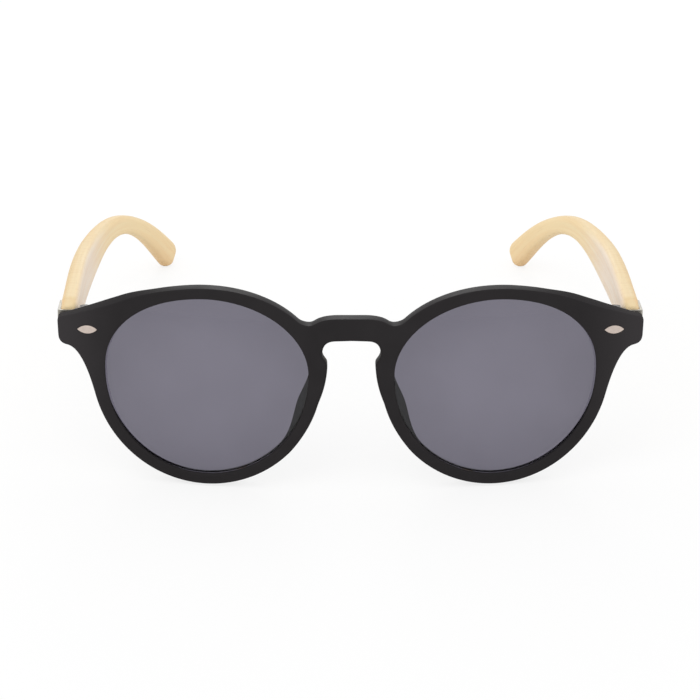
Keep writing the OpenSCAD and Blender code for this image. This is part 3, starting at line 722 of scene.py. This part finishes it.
def piece(name, points, faces, material, body, slot, replaced, attributes=None):
    """A mesh object from arrays, with doubles merged, faces outward, smooth, and riding on its body."""
    mesh = bpy.data.meshes.new(name)
    mesh.from_pydata(points.tolist(), [], [list(face) for face in faces])
    for label, values in (attributes or {}).items():
        layer = mesh.attributes.new(label, "FLOAT_VECTOR", "POINT")
        layer.data.foreach_set("vector", values.astype(np.float32).ravel())
    work = bmesh.new()
    work.from_mesh(mesh)
    bmesh.ops.remove_doubles(work, verts=work.verts, dist=MERGE)
    loose = [vert for vert in work.verts if not vert.link_faces]
    bmesh.ops.delete(work, geom=loose, context="VERTS")
    bmesh.ops.recalc_face_normals(work, faces=work.faces)
    work.to_mesh(mesh)
    work.free()
    finished(name, mesh, material, body, replaced)


def pair(name, surface, material, body, slot, node):
    """A piece on each side, the left one mirrored. The body's name may have a place for the side's."""
    points, faces, *attributes = surface
    for label, side in SIDES.items():
        both = standing(points, side), faces, material
        piece(f"{name}_{label}", *both, body.format(label), slot, f"{node}_{label}", *attributes)


def finished(name, mesh, material, body, replaced):
    """An object for a mesh, with its material and body, that hides the node it stands for."""
    mesh.shade_smooth()
    mesh.set_sharp_from_angle(angle=SHARP_ANGLE)
    mesh.materials.append(material)
    made = linked(name, mesh)
    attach(made, body)
    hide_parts(replaced)
    return made


def bevelled_node(name, node, width, material, body):
    """A merged copy of a CAD node with its flat faces joined and a small bevel along its edges."""
    work = bmesh.new()
    work.from_mesh(frame["nodes"][node].data)
    bmesh.ops.remove_doubles(work, verts=work.verts, dist=MERGE)
    bmesh.ops.dissolve_limit(work, angle_limit=FLAT_ANGLE, verts=work.verts, edges=work.edges)
    mesh = bpy.data.meshes.new(name)
    work.to_mesh(mesh)
    work.free()
    made = finished(name, mesh, material, body, node)
    bevel = made.modifiers.new("edges", "BEVEL")
    bevel.width = width * MM
    bevel.segments = 2
    bevel.limit_method = "ANGLE"
    bevel.angle_limit = BEVEL_ANGLE


# Materials. CLOUD is the range of most of a noise's values, the grains are lines to the metre along, up
# and out, and the other ranges are metres from the middle of the front or of a lens

CLOUD = (0.3, 0.7)
STREAKS = (22, 900, 900)
FIBRES = (150, 4200, 4200)
TICKS = (2200, 90, 350)
SCRATCHES = (500, 9000, 9000)
DULL_X = (0.042, 0.056)
# PAINTED_LIGHT_X is where the front's ends are painted greyer, as painted light
PAINTED_LIGHT_X = (0.056, 0.074)
DEEP_R = (0.006, 0.027)

# Colour, least and greatest roughness, size of the mottling and its relief
METALS = {
    "satin_metal": ("satin", 0.3, 0.45, 1500, 0.35),
    "cap_metal": ("silver", 0.32, 0.46, 1100, 0.25),
    "hinge_steel": ("steel", 0.28, 0.42, 900, 0.15),
}


def fill(tree, node, inputs):
    """Link or set a node's inputs."""
    for key, value in inputs.items():
        if isinstance(value, bpy.types.NodeSocket):
            tree.links.new(value, node.inputs[key])
        else:
            node.inputs[key].default_value = value


def add(tree, kind, inputs, **settings):
    """A shader node of a kind, with its settings and inputs."""
    made = tree.nodes.new("ShaderNode" + kind)
    for name, value in settings.items():
        setattr(made, name, value)
    fill(tree, made, inputs)
    return made


def blank(name):
    """A new material, its tree and its main shader."""
    material = bpy.data.materials.new(name)
    material.use_nodes = True
    return material, material.node_tree, material.node_tree.nodes["Principled BSDF"]


def source(tree, kind, output, **settings):
    """An output of a node that takes no inputs."""
    return add(tree, kind, {}, **settings).outputs[output]


def noise(tree, vector, scale, detail):
    """Value of a noise texture at a vector."""
    return add(tree, "TexNoise", {"Vector": vector, "Scale": scale, "Detail": detail}).outputs[0]


def stretched(tree, vector, scale):
    """A vector with each of its parts multiplied."""
    return add(tree, "VectorMath", {0: vector, 1: scale}, operation="MULTIPLY").outputs[0]


def ranged(tree, value, low, high, to_low=0.0, to_high=1.0):
    """A value moved from one range to another, smooth and held at the ends."""
    inputs = {0: value, 1: low, 2: high, 3: to_low, 4: to_high}
    return add(tree, "MapRange", inputs, interpolation_type="SMOOTHSTEP").outputs[0]


def maths(tree, operation, *values):
    """The result of an operation on one or two values."""
    return add(tree, "Math", dict(enumerate(values)), operation=operation).outputs[0]


def times(tree, a, b):
    """The product of two values."""
    return maths(tree, "MULTIPLY", a, b)


def blended(tree, factor, a, b):
    """A colour between two colours."""
    paint = [value if isinstance(value, bpy.types.NodeSocket) else (*value, 1) for value in (a, b)]
    return add(tree, "Mix", {0: factor, 6: paint[0], 7: paint[1]}, data_type="RGBA").outputs[2]


def shade(paint, factor):
    """A colour made lighter or darker."""
    return tuple(min(part * factor, 1) for part in paint)


def relief(tree, height, strength, distance):
    """The normal of a surface with relief from a height."""
    return add(tree, "Bump", {"Height": height, "Strength": strength, "Distance": distance}).outputs[0]


def black_plastic():
    """Matt moulded plastic: near black, duller towards the ends and painted greyer there as painted light
    that the outward-facing ends catch, with a fine mould texture.
    """
    paint = millimetres("front").black
    material, tree, shader = blank("black_plastic")
    here = source(tree, "TexCoord", "Object")
    cloud = noise(tree, here, 140, 3)
    across = maths(tree, "ABSOLUTE", add(tree, "SeparateXYZ", {0: here}).outputs[0])
    toned = blended(tree, cloud, shade(paint, 0.85), shade(paint, 1.15))
    gloss = ranged(tree, cloud, *CLOUD, 0.4, 0.48)
    fill(tree, shader, {
        # The base colour turns greyer towards the ends: painted light that the ends catch from the sides,
        # not a colour of the plastic
        "Base Color": blended(tree, ranged(tree, across, *PAINTED_LIGHT_X), toned, shade(paint, 1.7)),
        "Roughness": maths(tree, "ADD", ranged(tree, across, *DULL_X, 0.0, 0.4), gloss),
        "Specular IOR Level": 0.03,
        "Normal": relief(tree, noise(tree, here, 5200, 2), 0.12, 0.00004),
    })
    return material


def tinted_lens():
    """Clear plastic tinted grey, a little deeper towards the rim."""
    s = front_values()
    flat = np.array([[s.lens_x, (s.lens_up - s.lens_down) / 2]])
    middle = np.abs(standing(on_face(s, flat, s.lens_set), 1))[0]
    material, tree, shader = blank("tinted_lens")
    here = source(tree, "TexCoord", "Object")
    right = add(tree, "VectorMath", {0: here}, operation="ABSOLUTE").outputs[0]
    reach = add(tree, "VectorMath", {0: right, 1: middle}, operation="DISTANCE").outputs["Value"]
    cloud = ranged(tree, noise(tree, here, 60, 2), *CLOUD, 0.97, 1.03)
    toned = blended(tree, ranged(tree, reach, *DEEP_R), shade(s.tint, 1.05), shade(s.tint, 0.91))
    toned = add(tree, "VectorMath", {0: toned, 3: cloud}, operation="SCALE").outputs[0]
    fill(tree, shader, {"Base Color": toned, "Transmission Weight": 1, "Roughness": 0.03, "IOR": 1.5})
    return material


def bamboo():
    """Sanded bamboo: streaks and short fibres, bolder outside, inner faces painted paler and pinker as a
    painted sheen that lifts their shade, and honey-coloured tips.
    """
    t = millimetres("temple")
    material, tree, shader = blank("bamboo")
    grain = source(tree, "Attribute", "Vector", attribute_name="grain")
    place = source(tree, "Attribute", "Vector", attribute_name="place")
    up, out, along = add(tree, "SeparateXYZ", {0: place}).outputs
    streak = noise(tree, stretched(tree, grain, STREAKS), 1, 4)
    fibre = noise(tree, stretched(tree, grain, FIBRES), 1, 3)
    tick = noise(tree, stretched(tree, grain, TICKS), 1, 1)
    edge = ranged(tree, maths(tree, "ABSOLUTE", up), 0.82, 0.97)
    tip = ranged(tree, along, 0.78, 1.0)
    foot = ranged(tree, up, 0.3, -1.0)
    bold = ranged(tree, out, 0.2, 0.8, 0.3, 0.6)
    # Inner faces: painted light, from the painted sheen near the hinge to a lightened copy of the cream
    # towards the hook
    inner = blended(tree, ranged(tree, along, 0.3, 0.65), t.blush, shade(t.cream, 1.16))
    toned = blended(tree, ranged(tree, out, -0.5, -1.0), t.cream, inner)
    for factor, paint in (
        (times(tree, tip, 0.15), t.honey),
        (times(tree, times(tree, tip, foot), 0.55), t.honey),
        (times(tree, bold, ranged(tree, streak, 0.35, 0.75)), shade(t.honey, 1.12)),
        (times(tree, bold, ranged(tree, fibre, 0.6, 0.78)), shade(t.honey, 0.62)),
        (times(tree, edge, ranged(tree, tick, 0.55, 0.7, 0.0, 0.25)), shade(t.honey, 0.8)),
    ):
        toned = blended(tree, factor, toned, paint)
    fill(tree, shader, {
        "Base Color": toned,
        "Roughness": ranged(tree, streak, *CLOUD, 0.42, 0.58),
        "Specular IOR Level": 0.35,
        "Normal": relief(tree, fibre, 0.25, 0.00008),
    })
    return material


def metal(name):
    """Metal with a mottled gloss and fine scratches along x."""
    key, low, high, scale, depth = METALS[name]
    paint = getattr(millimetres("metal"), key)
    material, tree, shader = blank(name)
    here = source(tree, "TexCoord", "Object")
    cloud = noise(tree, here, scale, 3)
    scratch = noise(tree, stretched(tree, here, SCRATCHES), 1, 2)
    fill(tree, shader, {
        "Base Color": blended(tree, cloud, shade(paint, 0.86), shade(paint, 1.1)),
        "Roughness": ranged(tree, scratch, *CLOUD, low, high),
        "Metallic": 1,
        "Normal": relief(tree, cloud, depth, 0.00005),
    })
    return material


# Operators


class SUNGLASSES_OT_front(bpy.types.Operator):
    """Build the black moulded front with its rims, bridge, end pieces and nose pads"""

    bl_idname = "sunglasses.front"
    bl_label = "Front"

    def execute(self, context):
        points, faces = front_surface(front_values())
        both = join(standing(points, 1), standing(points, -1))
        faces = join(faces, faces[:, ::-1] + len(points))
        piece("front_moulding", both, faces, black_plastic(), "front", "front_black", "front_frame")
        return {"FINISHED"}


class SUNGLASSES_OT_lenses(bpy.types.Operator):
    """Build the two tinted lenses"""

    bl_idname = "sunglasses.lenses"
    bl_label = "Lenses"

    def execute(self, context):
        pair("lens_tinted", lens_surface(front_values()), tinted_lens(), "front", "lens_smoke", "lens")
        return {"FINISHED"}


class SUNGLASSES_OT_rivets(bpy.types.Operator):
    """Build the two rivets with pointed heads"""

    bl_idname = "sunglasses.rivets"
    bl_label = "Rivets"

    def execute(self, context):
        satin = metal("satin_metal")
        pair("rivet_head", rivet_surface(front_values()), satin, "front", "trim_satin", "rivet")
        return {"FINISHED"}


class SUNGLASSES_OT_temples(bpy.types.Operator):
    """Build the two bent bamboo temples"""

    bl_idname = "sunglasses.temples"
    bl_label = "Temples"

    def execute(self, context):
        t = millimetres("temple")
        pair("temple_bamboo", temple_surface(t, front_values()), bamboo(), "arm_{}", "bamboo", "temple")
        return {"FINISHED"}


class SUNGLASSES_OT_hinges(bpy.types.Operator):
    """Finish the temple caps and the pieces of the spring hinges"""

    bl_idname = "sunglasses.hinges"
    bl_label = "Hinges and caps"

    def execute(self, context):
        m = millimetres("metal")
        # The hinge pieces' steel is painted dark, as painted shade for the gap behind the end pieces
        steel, silver = metal("hinge_steel"), metal("cap_metal")
        for label in SIDES:
            arm = f"arm_{label}"
            bevelled_node(f"cap_{label}", f"temple_cap_{label}", m.cap_bevel, silver, arm)
            for name, node, width, body in (
                ("leaf", "hinge_leaf", m.bevel, "front"),
                ("pin", "hinge_screw", m.bevel / 2, "front"),
                ("shank", "hinge_slider", m.bevel, f"slider_{label}"),
                ("case", "spring_case", m.bevel, arm),
                ("case_screw_pair", "case_screws", m.bevel, arm),
            ):
                bevelled_node(f"{name}_{label}", f"{node}_{label}", width, steel, body)
            for node in (f"hinge_spring_{label}", f"spring_collar_{label}"):
                materials = frame["nodes"][node].data.materials
                materials.clear()
                materials.append(steel)
        return {"FINISHED"}


class SUNGLASSES_OT_stage(bpy.types.Operator):
    """Set up the floor, the light and the camera"""

    bl_idname = "sunglasses.stage"
    bl_label = "Stage"

    def execute(self, context):
        s = millimetres("stage")
        context.scene.view_settings.view_transform = "Standard"
        make_floor(s)
        make_light(s)
        make_camera(s)
        return {"FINISHED"}


# Stage

FLOOR_TONE = 0.9
CAMERA_AIM = (0, 0, -3.0)
SENSOR = 36
FAR = 20


def seen_directly(tree):
    """1 for rays from the camera and rays through a lens, and 0 for others."""
    path = add(tree, "LightPath", {}).outputs
    return maths(tree, "MAXIMUM", path["Is Camera Ray"], path["Is Transmission Ray"])


def make_floor(s):
    """A pale floor that looks white and still takes a soft shadow."""
    half = s.floor_size / 2 * MM
    mesh = bpy.data.meshes.new("floor")
    corners = [(-half, -half, 0), (half, -half, 0), (half, half, 0), (-half, half, 0)]
    mesh.from_pydata(corners, [], [(0, 1, 2, 3)])
    material, tree, _ = blank("floor_white")
    material.cycles.emission_sampling = "NONE"
    tree.nodes.clear()
    matt = add(tree, "BsdfDiffuse", {"Color": (*[FLOOR_TONE] * 3, 1)})
    soft = add(tree, "BsdfDiffuse", {"Color": (*[1 - s.floor_glow] * 3, 1)})
    glow = add(tree, "Emission", {"Color": (1, 1, 1, 1), "Strength": s.floor_glow})
    seen = add(tree, "AddShader", {0: soft.outputs[0], 1: glow.outputs[0]})
    pick = add(tree, "MixShader", {0: seen_directly(tree), 1: matt.outputs[0], 2: seen.outputs[0]})
    add(tree, "OutputMaterial", {0: pick.outputs[0]})
    mesh.materials.append(material)
    floor = linked("floor", mesh)


def make_light(s):
    """Light from all round, a wide lamp above in front and a smaller one behind."""
    world = bpy.data.worlds.new("studio")
    world.use_nodes = True
    tree = world.node_tree
    level = ranged(tree, seen_directly(tree), 0, 1, s.sky, 1.0)
    fill(tree, tree.nodes["Background"], {"Color": (1, 1, 1, 1), "Strength": level})
    bpy.context.scene.world = world
    lamps = {
        "soft_lamp": (s.lamp, 0.9, (-0.35, -0.55, 1.1), (0, 0, 0.02)),
        "back_lamp": (s.back_lamp, 0.25, (0, 0.6, 0.3), (0, -0.07, 0.04)),
    }
    for name, (power, size, place, target) in lamps.items():
        light = bpy.data.lights.new(name, "AREA")
        light.shape = "DISK"
        light.size = size
        light.energy = power
        lamp = linked(name, light)
        lamp.matrix_world = aimed(place, target)
        lamp.visible_camera = False


def aimed(place, target):
    """A turn and place that look from one point to another."""
    back = unit(np.array(place) - np.array(target))
    right = unit(np.cross([0, 0, 1], back))
    return axes_matrix(right, np.cross(back, right), back, place)


def axes_matrix(right, up, back, place):
    """The matrix whose columns are three axes and a place."""
    made = np.eye(4)
    made[:3, 0], made[:3, 1], made[:3, 2], made[:3, 3] = right, up, back, place
    return Matrix(made.tolist())


def make_camera(s):
    """A long lens that looks a little down on to the front, as the front itself leans back."""
    down, aside = s.look_down, s.look_aside
    right = np.array([math.cos(aside), math.sin(aside), 0])
    ahead = np.array([-math.sin(aside) * math.cos(down), math.cos(aside) * math.cos(down), -math.sin(down)])
    up = np.cross(right, ahead)
    place = np.array(CAMERA_AIM) - s.distance * ahead + s.aim_x * right + s.aim_z * up
    base = standing(np.zeros((1, 3)), 1)[0]
    spot, right, ahead, up = (standing(p[None], 1)[0] for p in (place, right, ahead, up))
    right, ahead, up = ((axis - base) / MM for axis in (right, ahead, up))
    turned = math.cos(s.roll) * right + math.sin(s.roll) * up
    raised = math.cos(s.roll) * up - math.sin(s.roll) * right
    view = bpy.data.cameras.new("camera")
    view.lens = s.focal
    view.sensor_width = SENSOR
    view.clip_end = FAR
    camera = linked("camera", view)
    camera.matrix_world = axes_matrix(turned, raised, -ahead, spot)
    bpy.context.scene.camera = camera


STEPS = ("front", "lenses", "rivets", "temples", "hinges", "stage")
GROUPS = {
    "front": SUNGLASSES_PG_front,
    "temple": SUNGLASSES_PG_temple,
    "metal": SUNGLASSES_PG_metal,
    "stage": SUNGLASSES_PG_stage,
}


class SUNGLASSES_PT_pieces(bpy.types.Panel):
    """Builds the pieces and shows their sizes and colours"""

    bl_idname = "SUNGLASSES_PT_pieces"
    bl_label = "Sunglasses"
    bl_space_type = "VIEW_3D"
    bl_region_type = "UI"
    bl_category = "Sunglasses"

    def draw(self, context):
        for step in STEPS:
            self.layout.operator(f"sunglasses.{step}")
        for name, group in GROUPS.items():
            box = self.layout.box()
            box.label(text=name.capitalize())
            for key in group.__annotations__:
                box.prop(getattr(context.scene, f"sunglasses_{name}"), key)


CLASSES = (
    *GROUPS.values(), SUNGLASSES_OT_front, SUNGLASSES_OT_lenses, SUNGLASSES_OT_rivets,
    SUNGLASSES_OT_temples, SUNGLASSES_OT_hinges, SUNGLASSES_OT_stage, SUNGLASSES_PT_pieces,
)


def register():
    """Register the classes and the scene's groups of values."""
    for made in CLASSES:
        bpy.utils.register_class(made)
    for name, group in GROUPS.items():
        setattr(bpy.types.Scene, f"sunglasses_{name}", PointerProperty(type=group))


def unregister():
    """Take the groups of values and the classes away again."""
    for name in GROUPS:
        delattr(bpy.types.Scene, f"sunglasses_{name}")
    for made in reversed(CLASSES):
        bpy.utils.unregister_class(made)


def main():
    """Register the classes, clear away the default objects and build every piece in order."""
    register()
    for name in ("Cube", "Light", "Camera"):
        if name in bpy.data.objects:
            bpy.data.objects.remove(bpy.data.objects[name])
    bpy.ops.sunglasses.front()
    bpy.ops.sunglasses.lenses()
    bpy.ops.sunglasses.rivets()
    bpy.ops.sunglasses.temples()
    bpy.ops.sunglasses.hinges()
    bpy.ops.sunglasses.stage()


if __name__ == "__main__":
    main()
